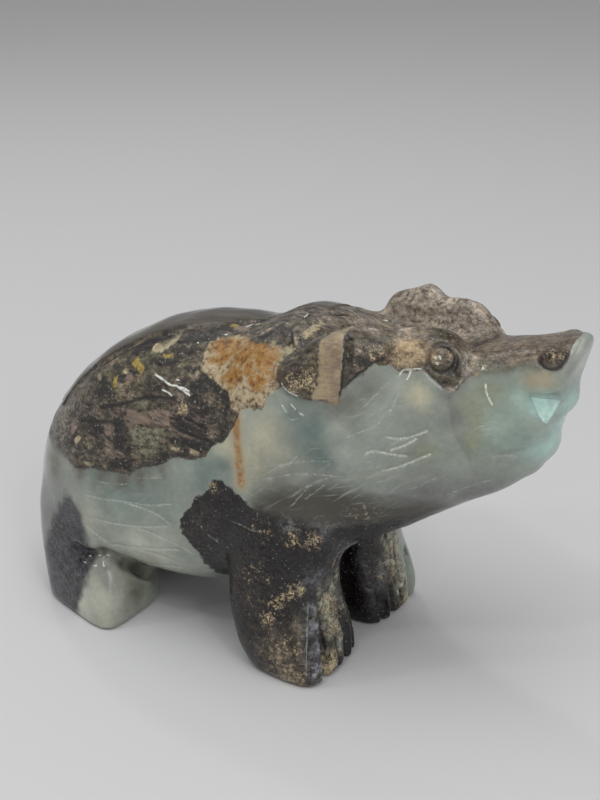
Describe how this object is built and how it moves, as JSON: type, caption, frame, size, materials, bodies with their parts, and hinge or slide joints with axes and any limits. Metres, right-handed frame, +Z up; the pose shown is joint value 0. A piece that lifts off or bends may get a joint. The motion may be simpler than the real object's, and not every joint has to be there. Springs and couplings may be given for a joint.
{
  "type": "stone bear carving",
  "caption": "Standing bear carved in one piece from mottled blue-green and brown stone, polished, with incised fur, resting on flat soles.",
  "frame": {"origin": "on the plane of the soles, under the middle of the carving's bounding box", "axes": "+X towards the nose, +Y towards the bear's left, +Z up"},
  "size_m": [0.1118, 0.0472, 0.0674],
  "materials": {
    "stone": "polished, mottled brown and blue-green"
  },
  "bodies": {
    "root": {"bear": "stone"}
  },
  "joints": []
}
